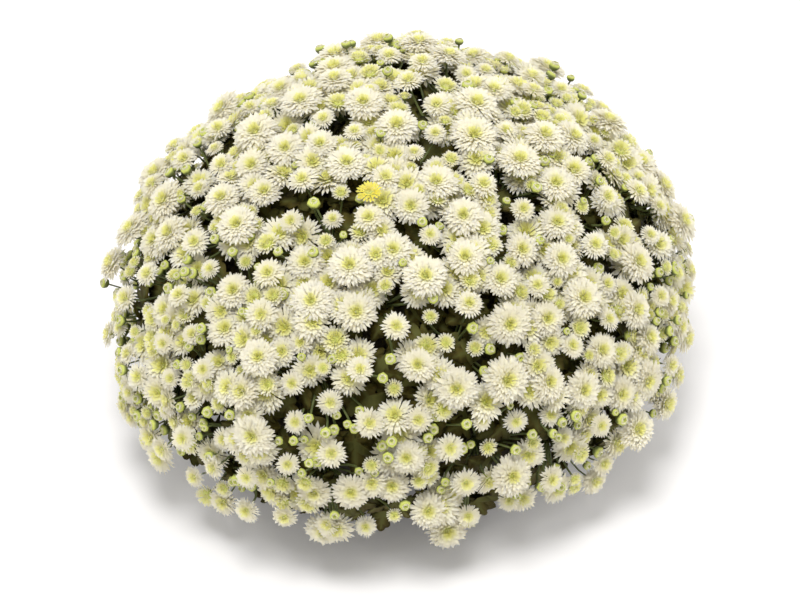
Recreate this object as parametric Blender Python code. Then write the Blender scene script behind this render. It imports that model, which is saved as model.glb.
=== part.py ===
"""A pot chrysanthemum in full bloom: a low dome of leaves over a plastic pot, covered with flower heads.

The plant grows from one woody base in the soil. Its branches carry a dense leafy cushion, and from that
rise the flowering sprays: each is a stem that ends in a knot, from which thin stalks fan out to the heads.
Metres, +Z up. The origin is on the floor, on the pot's axis.
"""

import math
import random
from dataclasses import dataclass

import bmesh
import bpy
import numpy as np
from mathutils import Matrix, Vector
from mathutils.bvhtree import BVHTree

# The canopy is the curved layer that the flower heads lie in
CANOPY_RADIUS = 0.2445
CANOPY_HEIGHT = 0.207  # from its widest circle up to its top
WIDEST_Z = 0.106
SKIRT_DEPTH = 0.165  # semi-axis of the curve below the widest circle
SKIRT_END = math.radians(99.5)  # where the heads stop, measured from the top
SKEW = 0.044  # how much wider the bush is along one diagonal than an even dome, and narrower along the other
CANOPY_WAVE = 0.0028  # height of the broad humps, which keep it from being a perfect dome

# The sprays
SPRAY_COUNT = 54
KNOT_DEPTH = 0.045  # below the canopy
KNOT_RADIUS = 0.0045
KNOT_TURNS = 24  # tries at turning a knot so that its stalks don't cross
NECK_RADIUS = 0.0012  # half thickness of a stalk where it meets its head
SHARPEST_BEND = math.radians(75)  # between a facet of the knot and the stalk that leaves it
MOST_HEADS = 10  # that one knot has room for
CENTRING_ROUNDS = 6

# The leafy cushion under the sprays
CUSHION_DEPTH = 0.056  # below the canopy
CUSHION_SIDES = 14
CUSHION_UNDERSIDE_Z = 0.185
CUSHION_LIP_Z = 0.046  # its lower edge, all round the pot
LEAF_COUNT = 49
LEAF_LENGTH = (0.042, 0.054)
LEAF_WIDTH = 0.60  # share of its length
LEAF_THICKNESS = 0.0014  # at the midrib
LEAF_SUNK = 0.007  # of its stalk, in the cushion
LOWEST_LEAF_ANGLE = math.radians(128)  # measured from the top, like the skirt's
LOWEST_LEAF_Z = 0.012

# The pot, a plain grower's pot, and its soil
POT_RADIUS = 0.095  # at the top of the wall
POT_BASE_RADIUS = 0.068
POT_HEIGHT = 0.145
POT_WALL = 0.002
POT_RIM_WIDTH = 0.0035
POT_RIM_DEPTH = 0.013
POT_FOOT_WIDTH = 0.008
POT_FOOT_HEIGHT = 0.003
POT_SIDES = 18
DRAIN_COUNT = 5
DRAIN_RADIUS = 0.006
SOIL_Z = 0.131  # at the wall
SOIL_HEAP = 0.003  # how much higher it lies round the trunk

# The woody base
TRUNK_RADIUS = 0.0072
TRUNK_SIDES = 6
TRUNK_SUNK = 0.032  # how deep it stands in the soil
BRANCH_COUNT = 5
BRANCH_RADIUS = 0.0042
BRANCH_SPREAD = 0.043
FORK_Z = 0.143

GAP = 0.0003  # between pieces that touch
SEED = 5

GOLDEN_ANGLE = math.pi * (3 - math.sqrt(5))
UP = Vector((0, 0, 1))
LOPSIDED = Matrix(((1, SKEW, 0), (SKEW, 1, 0), (0, 0, 1)))


@dataclass
class Kind:
    """A stage of opening. Heights are measured along the head's axis from the level of its rim."""

    name: str
    count: int
    radius: tuple
    petals: int
    crown: float
    tip: float
    notch: float
    neck: float
    lift: tuple
    lean: float


KINDS = [
    Kind("full", 150, (0.0180, 0.0215), 6, 0.0045, -0.0020, 0.0010, 0.0080, (0.001, 0.007), 0.12),
    Kind("open", 160, (0.0155, 0.0180), 6, 0.0040, -0.0010, 0.0010, 0.0070, (-0.005, 0.004), 0.16),
    Kind("half", 110, (0.0115, 0.0140), 5, -0.0005, 0.0030, 0.0005, 0.0060, (-0.007, 0.002), 0.20),
    Kind("bud", 52, (0.0046, 0.0056), 5, 0.0042, 0.0, 0.0, 0.0048, (-0.005, 0.006), 0.25),
]
NOTCH_SHARE = 0.72  # how far out the notches between petals lie
CLEARANCE = 0.0005  # kept between two heads
FIRST_SPACING = 0.70  # of two heads, as a share of their radii together, before they settle
SETTLED_SPACING = 1.02
SETTLING_ROUNDS = 60
SETTLING_STEP = 0.2
SCATTER_TRIES = 400
UPWARD = 0.10  # how much the heads look up from straight outwards
STEEPEST = -0.12  # the lowest slope of the canopy that they follow


class Head:
    """One flower head or bud: where its rim's centre is, which way it faces and how wide it is."""

    def __init__(self, kind, place, facing, spin, radius):
        self.kind = kind
        self.place = place
        self.facing = facing
        self.radius = radius
        self.across = facing.orthogonal().normalized()
        self.along = facing.cross(self.across)
        step = math.pi / kind.petals
        if kind.name == "bud":
            self.rim = [self.rim_point(spin + 2 * i * step, 1, 0) for i in range(kind.petals)]
            return
        self.rim = []
        for i in range(kind.petals):
            self.rim.append(self.rim_point(spin + 2 * i * step, 1, kind.tip))
            self.rim.append(self.rim_point(spin + (2 * i + 1) * step, NOTCH_SHARE, kind.notch))

    def rim_point(self, turn, share, height):
        sideways = self.across * math.cos(turn) + self.along * math.sin(turn)
        return self.place + sideways * (self.radius * share) + self.facing * height

    def crown_point(self):
        return self.place + self.facing * self.kind.crown

    def neck_point(self):
        return self.place - self.facing * self.kind.neck

    def room(self, other):
        """The way to another head, and how far to go that way before the plane that parts the two."""
        way = other.place - self.place
        apart = way.length
        share = 0.5 + (self.radius**2 - other.radius**2) / (2 * apart**2)
        return way / apart, min(max(share, 0.25), 0.75) * apart - CLEARANCE / 2

    def parted_from(self, other):
        """Whether its middle keeps to its own side of that plane."""
        way, most = self.room(other)
        return all((p - self.place).dot(way) < most for p in (self.crown_point(), self.neck_point()))

    def trim(self, other):
        """Draws in the petals that reach past the plane."""
        way, most = self.room(other)
        for i, point in enumerate(self.rim):
            reach = (point - self.place).dot(way)
            if reach > most:
                self.rim[i] = self.place + (point - self.place) * (most / reach)


def clear_scene():
    for obj in list(bpy.data.objects):
        bpy.data.objects.remove(obj)


def material(name, colour, roughness):
    made = bpy.data.materials.new(name)
    made.use_nodes = True
    shader = made.node_tree.nodes["Principled BSDF"]
    shader.inputs["Base Color"].default_value = (*colour, 1)
    shader.inputs["Roughness"].default_value = roughness
    shader.inputs["Metallic"].default_value = 0
    return made


def add_object(name, bm, finish, place=(0, 0, 0)):
    """A named object from a bmesh whose points are relative to place."""
    mesh = bpy.data.meshes.new(name)
    bm.to_mesh(mesh)
    bm.free()
    mesh.materials.append(finish)
    obj = bpy.data.objects.new(name, mesh)
    obj.location = place
    bpy.context.scene.collection.objects.link(obj)
    return obj


def turned(profile, sides):
    """A solid of revolution. The profile runs from the axis underneath, round the outside, to the top."""
    bm = bmesh.new()
    rings = []
    for radius, z in profile:
        if radius == 0:
            rings.append([bm.verts.new((0, 0, z))])
            continue
        turns = [2 * math.pi * i / sides for i in range(sides)]
        rings.append([bm.verts.new((radius * math.cos(t), radius * math.sin(t), z)) for t in turns])
    for lower, upper in zip(rings, rings[1:]):
        for i in range(sides):
            j = (i + 1) % sides
            corners = [lower[i % len(lower)], lower[j % len(lower)]]
            corners += [upper[j % len(upper)], upper[i % len(upper)]]
            bm.faces.new(list(dict.fromkeys(corners)))
    return bm


def shade_round(obj):
    """Smooth shading, with edges kept sharp where the surface turns a corner."""
    obj.data.shade_smooth()
    obj.data.set_sharp_from_angle(angle=math.radians(35))


def combine(obj, others, operation):
    """Joins a collection of closed solids to obj, or cuts them from it, and leaves plain mesh."""
    helpers = bpy.data.collections.new("helpers")
    bpy.context.scene.collection.children.link(helpers)
    for other in others:
        bpy.context.scene.collection.objects.unlink(other)
        helpers.objects.link(other)
    modifier = obj.modifiers.new("join", "BOOLEAN")
    modifier.operation = operation
    modifier.operand_type = "COLLECTION"
    modifier.collection = helpers
    modifier.solver = "EXACT"
    bpy.context.view_layer.update()
    evaluated = obj.evaluated_get(bpy.context.evaluated_depsgraph_get())
    joined = bpy.data.meshes.new_from_object(evaluated)
    obj.modifiers.clear()
    obj.data = joined
    for other in others:
        bpy.data.objects.remove(other)
    bpy.data.collections.remove(helpers)


def canopy_point(angle, turn, lift=0.0):
    """A place on the canopy and its outward normal. angle starts at the top, turn goes round the pot."""
    semi = CANOPY_HEIGHT if angle < math.pi / 2 else SKIRT_DEPTH
    out, rise = math.sin(angle), math.cos(angle)
    heading = Vector((math.cos(turn), math.sin(turn), 0))
    normal = (heading * (out / CANOPY_RADIUS) + UP * (rise / semi)).normalized()
    wave = CANOPY_WAVE * out * (math.sin(4 * turn + 2.5 * angle) + math.sin(6 * turn - 4 * angle))
    on_curve = heading * (CANOPY_RADIUS * out) + UP * (WIDEST_Z + semi * rise)
    return LOPSIDED @ (on_curve + normal * (lift + wave)), (LOPSIDED.inverted() @ normal).normalized()


def canopy_area_steps(steps=400):
    """Angles from the top down to the skirt, and the share of the canopy's area above each."""
    angles = np.linspace(0, SKIRT_END, steps)
    semi = np.where(angles < math.pi / 2, CANOPY_HEIGHT, SKIRT_DEPTH)
    slope = np.hypot(CANOPY_RADIUS * np.cos(angles), semi * np.sin(angles))
    area = np.cumsum(np.sin(angles) * slope)
    return angles, area / area[-1]


def facing_at(normal):
    """Flower heads face outwards, and those of the skirt look out rather than down."""
    return Vector((normal.x, normal.y, max(normal.z, STEEPEST) + UPWARD)).normalized()


def onto_canopy(point):
    """The angle and turn of the canopy's point nearest to one beside it, roughly."""
    point = LOPSIDED.inverted() @ Vector(point)
    above = point[2] - WIDEST_Z
    semi = CANOPY_HEIGHT if above > 0 else SKIRT_DEPTH
    angle = math.atan2(math.hypot(point[0], point[1]) / CANOPY_RADIUS, above / semi)
    return min(angle, SKIRT_END), math.atan2(point[1], point[0])


def settle(spots, radii):
    """Lets the heads push each other apart along the canopy until each has about the room it needs."""
    wanted = SETTLED_SPACING * (radii[:, None] + radii[None, :])
    for _ in range(SETTLING_ROUNDS):
        places = np.array([canopy_point(*spot)[0] for spot in spots])
        offsets = places[:, None] - places[None, :]
        apart = np.linalg.norm(offsets, axis=2) + np.eye(len(spots))
        push = np.clip(wanted - apart, 0, None) / apart
        np.fill_diagonal(push, 0)
        places += SETTLING_STEP * (offsets * push[:, :, None]).sum(1)
        spots = [onto_canopy(place) for place in places]
    return spots


def place_heads(rng):
    """Scatters the heads over the canopy, the widest first, lets them settle and trims those that meet."""
    angles, shares = canopy_area_steps()
    chosen = []
    spots = []
    places = np.zeros((0, 3))
    radii = np.zeros(0)
    for kind in KINDS:
        for _ in range(kind.count):
            radius = rng.uniform(*kind.radius)
            for _ in range(SCATTER_TRIES):
                spot = (float(np.interp(rng.random(), shares, angles)), rng.uniform(-math.pi, math.pi))
                place = np.array(canopy_point(*spot)[0])
                apart = np.linalg.norm(places - place, axis=1)
                if not (apart < FIRST_SPACING * (radii + radius)).any():
                    break
            chosen.append(kind)
            spots.append(spot)
            places = np.vstack([places, place])
            radii = np.append(radii, radius)
    heads = []
    for kind, spot, radius in zip(chosen, settle(spots, radii), radii):
        place, normal = canopy_point(*spot, rng.uniform(*kind.lift))
        leaning = Vector([rng.uniform(-kind.lean, kind.lean) for _ in range(3)])
        facing = (facing_at(normal) + leaning).normalized()
        head = Head(kind, place, facing, rng.uniform(0, math.pi), float(radius))
        if all(head.parted_from(other) and other.parted_from(head) for other in heads):
            heads.append(head)
    for a in heads:
        for b in heads:
            if a is not b:
                a.trim(b)
    return heads


def spray_knots():
    """Where each spray's stalks meet, evenly over the canopy, and the spray's axis."""
    angles, shares = canopy_area_steps()
    knots = []
    for i in range(SPRAY_COUNT):
        angle = float(np.interp((i + 0.5) / SPRAY_COUNT, shares, angles))
        knots.append(canopy_point(angle, i * GOLDEN_ANGLE, -KNOT_DEPTH))
    return knots


def share_out(heads, knots):
    """Gives each head to a knot near it, the closest pairs first, while the knot has room."""
    tops = [place + normal * KNOT_DEPTH for place, normal in knots]
    pairs = [((top - head.place).length, h, k) for h, head in enumerate(heads) for k, top in enumerate(tops)]
    sprays = [[] for _ in knots]
    given = set()
    for _, h, k in sorted(pairs):
        if h not in given and len(sprays[k]) < MOST_HEADS:
            sprays[k].append(heads[h])
            given.add(h)
    return sprays


def centred_knots(heads):
    """Knots moved to lie under the middle of the heads that each one carries."""
    knots = spray_knots()
    for _ in range(CENTRING_ROUNDS):
        middles = [sum((head.place for head in own), Vector()) / len(own) for own in share_out(heads, knots)]
        knots = [canopy_point(*onto_canopy(middle), -KNOT_DEPTH) for middle in middles]
    return knots


def match_facets(facets, centre, heads):
    """Pairs each head with a facet of the knot so that the stalks leave it without crossing."""
    normals = [facet.normal.copy() for facet in facets]
    ways = [(head.neck_point() - centre).normalized() for head in heads]

    def cost(head, facet):
        turn = ways[head].angle(normals[facet])
        return turn if turn < SHARPEST_BEND else turn + math.pi

    chosen = []
    for head in range(len(heads)):
        free = [f for f in range(len(facets)) if f not in chosen]
        chosen.append(min(free, key=lambda f: cost(head, f)))
    better = True
    while better:
        better = False
        for a in range(len(heads)):
            for f in range(len(facets)):
                b = chosen.index(f) if f in chosen else None
                now = cost(a, chosen[a]) + (cost(b, f) if b is not None else 0)
                then = cost(a, f) + (cost(b, chosen[a]) if b is not None else 0)
                if then < now - 1e-9:
                    if b is not None:
                        chosen[b] = chosen[a]
                    chosen[a] = f
                    better = True
    return [facets[f] for f in chosen]


def draw_out(bm, facet, targets):
    """Extrudes a facet so that its corners move to the three targets."""
    new_face = bmesh.ops.extrude_discrete_faces(bm, faces=[facet])["faces"][0]
    for vert, target in zip(new_face.verts, targets):
        vert.co = target
    return new_face


def neck_corners(facet, head, centre):
    """Where the corners of a facet go when it is drawn out to a head's neck and turned to face it."""
    turn = facet.normal.rotation_difference(head.facing)
    middle = facet.calc_center_median()
    ways = [(turn @ (vert.co - middle)).normalized() for vert in facet.verts]
    return [head.neck_point() - centre + way * NECK_RADIUS for way in ways]


def add_head(bm, neck, head, centre):
    """Replaces the end of a stalk with a head: a cone out to the rim, closed by the crown."""
    corners = list(neck.verts)
    ring = [bm.verts.new(p - centre) for p in head.rim]
    crown = bm.verts.new(head.crown_point() - centre)
    bmesh.ops.delete(bm, geom=[neck], context="FACES_ONLY")

    def turn_of(vert, start):
        offset = vert.co + centre - head.place
        return (math.atan2(offset.dot(head.along), offset.dot(head.across)) - start) % (2 * math.pi)

    corners.sort(key=lambda vert: turn_of(vert, 0))
    seam = turn_of(corners[0], 0) - math.pi / 3
    ring.sort(key=lambda vert: turn_of(vert, seam))
    steps = len(ring)
    for i in range(steps):
        a, b = ring[i], ring[(i + 1) % steps]
        corner, following = i * 3 // steps, (i + 1) * 3 // steps
        bm.faces.new((a, b, crown))
        bm.faces.new((b, a, corners[corner]))
        if following > corner:
            bm.faces.new((corners[corner], corners[following % 3], b))


def stalk_tree(facet, head, centre):
    """A head and its stalk from a little way out of the knot, to test what they cross.

    The stalk's sides are each split both ways, as either may be how the finished mesh splits them.
    """
    ends = neck_corners(facet, head, centre)
    starts = [vert.co.lerp(end, 0.06) for vert, end in zip(facet.verts, ends)]
    sides = [(i, (i + 1) % 3) for i in range(3)]
    triangles = [(i, j, j + 3) for i, j in sides] + [(i, j + 3, i + 3) for i, j in sides]
    triangles += [(i, j, i + 3) for i, j in sides] + [(j, j + 3, i + 3) for i, j in sides]
    middles = [head.crown_point() - centre, head.neck_point() - centre]
    rim = [point - centre for point in head.rim]
    for i in range(len(rim)):
        a, b = 8 + i, 8 + (i + 1) % len(rim)
        triangles += [(a, b, 6), (a, b, 7)]
    return BVHTree.FromPolygons(starts + ends + middles + rim, triangles)


def crossing_stalks(facets, centre, heads):
    """The smaller head of each pair whose stalks cross."""
    trees = [stalk_tree(facet, head, centre) for facet, head in zip(facets, heads)]
    crossing = []
    for i, tree in enumerate(trees):
        for j in range(i):
            if tree.overlap(trees[j]):
                crossing.append(min(heads[i], heads[j], key=lambda head: head.radius))
    return crossing


def spin_knot(bm, facets, axis, centre, heads):
    """Turns the knot about its axis until its stalks keep clear of each other, and pairs them with heads."""
    step = Matrix.Rotation(GOLDEN_ANGLE, 3, axis)
    for _ in range(KNOT_TURNS):
        bmesh.ops.rotate(bm, verts=bm.verts, cent=(0, 0, 0), matrix=step)
        bm.normal_update()
        matched = match_facets(facets, centre, heads)
        crossing = crossing_stalks(matched, centre, heads)
        if not crossing:
            break
    return matched, crossing


def spray(name, knot, heads, cushion_tree, finish):
    """A knot with a foot on the cushion, and a stalk with a head on each chosen facet."""
    centre, axis = knot
    bm = bmesh.new()
    bmesh.ops.create_icosphere(bm, subdivisions=1, radius=KNOT_RADIUS)
    bm.faces.ensure_lookup_table()
    upright = bm.faces[0].normal.rotation_difference(axis)
    bmesh.ops.rotate(bm, verts=bm.verts, cent=(0, 0, 0), matrix=upright.to_matrix())
    bm.normal_update()
    lowest = min(bm.faces, key=lambda facet: facet.normal.dot(axis))
    upper = [facet for facet in bm.faces if facet is not lowest]
    matched, crossing = spin_knot(bm, upper, axis, centre, heads)
    while crossing:
        heads.remove(crossing[0])
        matched, crossing = spin_knot(bm, upper, axis, centre, heads)
    hit, normal, _, _ = cushion_tree.ray_cast(centre, -axis)
    clearing = hit + normal * GAP - centre
    foot = [vert.co - axis * ((vert.co - clearing).dot(normal) / axis.dot(normal)) for vert in lowest.verts]
    draw_out(bm, lowest, foot)
    for facet, head in zip(matched, heads):
        neck = draw_out(bm, facet, neck_corners(facet, head, centre))
        add_head(bm, neck, head, centre)
    bmesh.ops.triangulate(bm, faces=bm.faces)
    return add_object(name, bm, finish, centre)


def cushion_profile():
    """The canopy's curve moved inwards, and a hollow underneath that clears the pot and its branches."""
    profile = [
        (0, CUSHION_UNDERSIDE_Z),
        (BRANCH_SPREAD + 0.016, CUSHION_UNDERSIDE_Z),
        (POT_RADIUS + 0.014, POT_HEIGHT + 0.010),
        (POT_RADIUS + 0.024, CUSHION_LIP_Z + 0.030),
        (CANOPY_RADIUS - CUSHION_DEPTH - 0.022, CUSHION_LIP_Z),
        (CANOPY_RADIUS - CUSHION_DEPTH - 0.010, CUSHION_LIP_Z + 0.004),
    ]
    for degrees in (100, 82, 63, 44, 24):
        angle = math.radians(degrees)
        semi = CANOPY_HEIGHT if degrees < 90 else SKIRT_DEPTH
        out, rise = math.sin(angle), math.cos(angle)
        normal = Vector((out / CANOPY_RADIUS, rise / semi)).normalized()
        on_curve = Vector((CANOPY_RADIUS * out, WIDEST_Z + semi * rise))
        profile.append((on_curve - CUSHION_DEPTH * normal)[:])
    return profile + [(0, WIDEST_Z + CANOPY_HEIGHT - CUSHION_DEPTH)]


def leaf_outline():
    """Half of the lobed outline, from the stalk to the tip: distance along and half width, as shares."""
    return [(0.0, 0.05), (0.36, 0.50), (0.50, 0.26), (0.72, 0.42)]


def leaf_mesh(length, droop):
    """A lobed blade along +Y, thickest at its middle, its tip bent down."""
    bm = bmesh.new()
    half = leaf_outline()
    points = [(w, y) for y, w in half] + [(0.0, 1.0)] + [(-w, y) for y, w in reversed(half)]
    ring = []
    for across, along in points:
        bend = -droop * length * along**2
        fold = 0.12 * length * abs(across) * LEAF_WIDTH
        ring.append(bm.verts.new((across * length * LEAF_WIDTH, along * length, bend + fold)))
    middle_z = -droop * length * 0.25
    top = bm.verts.new((0, length * 0.5, middle_z + LEAF_THICKNESS / 2))
    base = bm.verts.new((0, length * 0.5, middle_z - LEAF_THICKNESS / 2))
    for a, b in zip(ring, ring[1:] + ring[:1]):
        bm.faces.new((a, b, top))
        bm.faces.new((b, a, base))
    bmesh.ops.recalc_face_normals(bm, faces=bm.faces)
    return bm


def leaf_pose(place, way, rng):
    """Turns a leaf's +Y along the way it grows, with its upper face mostly up and out."""
    outward = Vector((place.x, place.y, place.z * 0.6)).normalized()
    side = way.cross(outward).normalized()
    top = side.cross(way)
    turn = Matrix((side, way, top)).transposed().to_4x4()
    return Matrix.Translation(place) @ turn @ Matrix.Rotation(rng.uniform(-0.5, 0.5), 4, "Y")


def leaf_spots(rng, cushion_tree, count):
    """Roots on the cushion and the ways the leaves grow, all over its outside and down round its lip."""
    for _ in range(count):
        angle = math.acos(rng.uniform(math.cos(LOWEST_LEAF_ANGLE), 1))
        beyond = canopy_point(angle, rng.uniform(0, 2 * math.pi), -CUSHION_DEPTH / 2)[0]
        place, normal, _, _ = cushion_tree.find_nearest(beyond)
        tangent = normal.cross(Vector([rng.uniform(-1, 1) for _ in range(3)])).normalized()
        yield place, (normal + tangent * rng.uniform(0.35, 1.3)).normalized()


def add_leaves(cushion, cushion_tree, spray_tree, rng, finish):
    """Stands leaves out of the cushion wherever one is clear of the sprays and of the other leaves."""
    leaves = []
    trees = [spray_tree]
    for place, way in leaf_spots(rng, cushion_tree, 60 * LEAF_COUNT):
        if len(leaves) == LEAF_COUNT:
            break
        bm = leaf_mesh(rng.uniform(*LEAF_LENGTH), rng.uniform(0.10, 0.30))
        bm.transform(leaf_pose(place - way * LEAF_SUNK, way, rng))
        lowest = min(vert.co.z for vert in bm.verts)
        tree = BVHTree.FromBMesh(bm)
        if lowest < LOWEST_LEAF_Z or any(tree.overlap(other) for other in trees):
            bm.free()
            continue
        trees.append(tree)
        leaves.append(add_object(f"leaf_{len(leaves)}", bm, finish))
    combine(cushion, leaves, "UNION")


def pot(finish):
    foot_inner = POT_BASE_RADIUS - POT_FOOT_WIDTH
    wall_slope = (POT_RADIUS - POT_BASE_RADIUS) / POT_HEIGHT
    floor_z = POT_FOOT_HEIGHT + POT_WALL
    rim_z = POT_HEIGHT - POT_RIM_DEPTH
    rim_foot = POT_BASE_RADIUS + wall_slope * rim_z
    bm = turned(
        [
            (0, POT_FOOT_HEIGHT),
            (foot_inner, POT_FOOT_HEIGHT),
            (foot_inner + 0.001, 0),
            (POT_BASE_RADIUS, 0),
            (rim_foot, rim_z),
            (rim_foot + POT_RIM_WIDTH, rim_z),
            (POT_RADIUS + POT_RIM_WIDTH, POT_HEIGHT),
            (POT_RADIUS - POT_WALL, POT_HEIGHT),
            (POT_BASE_RADIUS - POT_WALL + wall_slope * floor_z, floor_z),
            (0, floor_z),
        ],
        POT_SIDES,
    )
    body = add_object("pot", bm, finish)
    drains = []
    for i in range(DRAIN_COUNT):
        turn = 2 * math.pi * i / DRAIN_COUNT
        reach = foot_inner - 2 * DRAIN_RADIUS
        bm = bmesh.new()
        bmesh.ops.create_cone(
            bm, cap_ends=True, segments=6, radius1=DRAIN_RADIUS, radius2=DRAIN_RADIUS, depth=6 * POT_WALL
        )
        place = (reach * math.cos(turn), reach * math.sin(turn), floor_z)
        drains.append(add_object(f"drain_{i}", bm, finish, place))
    combine(body, drains, "DIFFERENCE")
    shade_round(body)


def soil(finish):
    """Fills the pot, with a plain hole that the trunk stands in."""
    wall_slope = (POT_RADIUS - POT_BASE_RADIUS) / POT_HEIGHT
    floor_z = POT_FOOT_HEIGHT + POT_WALL + GAP
    inside = POT_BASE_RADIUS - POT_WALL - 2 * GAP
    hole = TRUNK_RADIUS + 2 * GAP
    bm = turned(
        [
            (0, floor_z),
            (inside + wall_slope * floor_z, floor_z),
            (inside + wall_slope * SOIL_Z, SOIL_Z),
            (3 * hole, SOIL_Z + SOIL_HEAP),
            (hole, SOIL_Z + SOIL_HEAP),
            (hole, SOIL_Z - TRUNK_SUNK - GAP),
            (0, SOIL_Z - TRUNK_SUNK - GAP),
        ],
        POT_SIDES,
    )
    return add_object("soil", bm, finish)


def branch(turn, reach):
    """A four-sided branch that starts inside the trunk and bends upwards to the cushion."""
    top_z = CUSHION_UNDERSIDE_Z - GAP
    heading = Vector((math.cos(turn), math.sin(turn), 0))
    bm = bmesh.new()
    rings = []
    for centre, radius in (
        (heading * 0.0015 + UP * (FORK_Z - 0.010), BRANCH_RADIUS),
        (heading * reach * 0.55 + UP * (FORK_Z + 0.45 * (top_z - FORK_Z)), BRANCH_RADIUS),
        (heading * reach + UP * top_z, BRANCH_RADIUS * 0.8),
    ):
        ways = [turn + math.pi / 2 * (k + 0.5) for k in range(4)]
        rings.append([bm.verts.new(centre + radius * Vector((math.cos(w), math.sin(w), 0))) for w in ways])
    bm.faces.new(reversed(rings[0]))
    bm.faces.new(rings[-1])
    for lower, upper in zip(rings, rings[1:]):
        for k in range(4):
            bm.faces.new((lower[k], lower[k - 3], upper[k - 3], upper[k]))
    return bm


def woody_base(finish):
    """A trunk in the soil with branches that carry the cushion. Their cut tops lie flat under it."""
    bm = turned(
        [
            (0, SOIL_Z - TRUNK_SUNK),
            (TRUNK_RADIUS, SOIL_Z - TRUNK_SUNK),
            (TRUNK_RADIUS * 0.9, FORK_Z),
            (0, FORK_Z + 0.004),
        ],
        TRUNK_SIDES,
    )
    trunk = add_object("woody_base", bm, finish)
    branches = []
    for i in range(BRANCH_COUNT):
        turn = 2 * math.pi * (i + 0.3) / BRANCH_COUNT
        reach = BRANCH_SPREAD * (0.75 if i % 2 else 1)
        branches.append(add_object(f"branch_{i}", branch(turn, reach), finish))
    combine(trunk, branches, "UNION")


def main():
    clear_scene()
    rng = random.Random(SEED)
    petal = material("petals", (0.85, 0.79, 0.60), 0.6)
    green = material("leaves", (0.035, 0.06, 0.02), 0.6)
    wood = material("woody stems", (0.12, 0.10, 0.05), 0.8)
    peat = material("soil", (0.035, 0.022, 0.014), 0.95)
    plastic = material("pot plastic", (0.04, 0.035, 0.032), 0.45)

    pot(plastic)
    soil(peat)
    woody_base(wood)
    bm = turned(cushion_profile(), CUSHION_SIDES)
    bm.transform(LOPSIDED.to_4x4())
    cushion = add_object("foliage", bm, green)
    graph = bpy.context.evaluated_depsgraph_get()
    cushion_tree = BVHTree.FromObject(cushion, graph)

    heads = place_heads(rng)
    knots = centred_knots(heads)
    sprays = share_out(heads, knots)
    every_spray = bmesh.new()
    for number, (knot, own) in enumerate(zip(knots, sprays), 1):
        made = spray(f"spray_{number:02d}", knot, own, cushion_tree, petal)
        copy = made.data.copy()
        copy.transform(Matrix.Translation(made.location))
        every_spray.from_mesh(copy)
        bpy.data.meshes.remove(copy)
    add_leaves(cushion, cushion_tree, BVHTree.FromBMesh(every_spray), rng, green)
    every_spray.free()
    carried = sum(len(own) for own in sprays)
    print(f"{carried} of {len(heads)} heads on {len(knots)} sprays")


main()
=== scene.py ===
import math

import bmesh
import bpy
import numpy as np
from mathutils import Matrix, Vector, noise


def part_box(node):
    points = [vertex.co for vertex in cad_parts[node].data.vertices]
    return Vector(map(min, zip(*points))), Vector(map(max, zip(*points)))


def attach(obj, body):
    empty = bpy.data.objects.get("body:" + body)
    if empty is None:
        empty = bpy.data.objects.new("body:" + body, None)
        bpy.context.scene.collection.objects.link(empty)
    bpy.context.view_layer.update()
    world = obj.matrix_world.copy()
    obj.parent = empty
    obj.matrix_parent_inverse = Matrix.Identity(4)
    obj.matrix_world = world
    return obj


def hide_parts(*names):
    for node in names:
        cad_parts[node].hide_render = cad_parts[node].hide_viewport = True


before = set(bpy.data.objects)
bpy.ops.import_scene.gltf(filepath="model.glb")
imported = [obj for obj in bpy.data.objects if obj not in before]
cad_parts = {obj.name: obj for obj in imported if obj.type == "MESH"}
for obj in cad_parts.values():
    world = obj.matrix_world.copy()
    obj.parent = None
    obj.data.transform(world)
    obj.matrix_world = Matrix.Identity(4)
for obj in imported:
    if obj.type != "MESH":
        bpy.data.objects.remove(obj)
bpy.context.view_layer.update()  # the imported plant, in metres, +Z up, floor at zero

print("frame in:", len(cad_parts), "nodes")


# small helpers used by every piece


def inputOf(tree, label):
    # the identifier of a named input of a node tree
    for item in tree.interface.items_tree:
        if item.item_type == "SOCKET" and item.in_out == "INPUT" and item.name == label:
            return item.identifier


def placed(name, data):
    # a new object in the scene
    made = bpy.data.objects.new(name, data)
    bpy.context.scene.collection.objects.link(made)
    return made


def meshObject(name, points, faces=(), edges=()):
    mesh = bpy.data.meshes.new(name)
    mesh.from_pydata([tuple(p) for p in points], list(edges), [tuple(f) for f in faces])
    mesh.shade_smooth()
    return placed(name, mesh)


def giveNumbers(mesh, name, values, kind="FLOAT"):
    # a value for each point
    layer = mesh.attributes.new(name, kind, "POINT")
    key = "vector" if kind == "FLOAT_VECTOR" else "value"
    layer.data.foreach_set(key, np.asarray(values, np.int32 if kind == "INT" else np.float32).ravel())


def giveMap(mesh, name, spots):
    layer = mesh.uv_layers.new(name=name)
    layer.uv.foreach_set("vector", np.asarray(spots, np.float32).ravel())


def plainMesh(made, name):
    # the evaluated result as a mesh of its own, with the modifiers gone
    graph = bpy.context.evaluated_depsgraph_get()
    mesh = bpy.data.meshes.new_from_object(made.evaluated_get(graph), depsgraph=graph)
    mesh.name = name
    bpy.data.objects.remove(made)
    return placed(name, mesh)


def stowed(made, collection):
    # kept for the trees to copy, out of the scene
    bpy.context.scene.collection.objects.unlink(made)
    collection.objects.link(made)


def listOf(items, key, wide=1, kind=np.float32):
    # one property of every item, as an array
    found = np.empty(len(items) * wide, kind)
    items.foreach_get(key, found)
    return found.reshape(-1, wide) if wide > 1 else found


def triangleCount(mesh):
    return int((listOf(mesh.polygons, "loop_total", kind=np.int32) - 2).sum())


def unit(way):
    return np.asarray(way) / np.linalg.norm(way)


def headingAt(turn):
    return np.array([math.cos(turn), math.sin(turn), 0])


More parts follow.
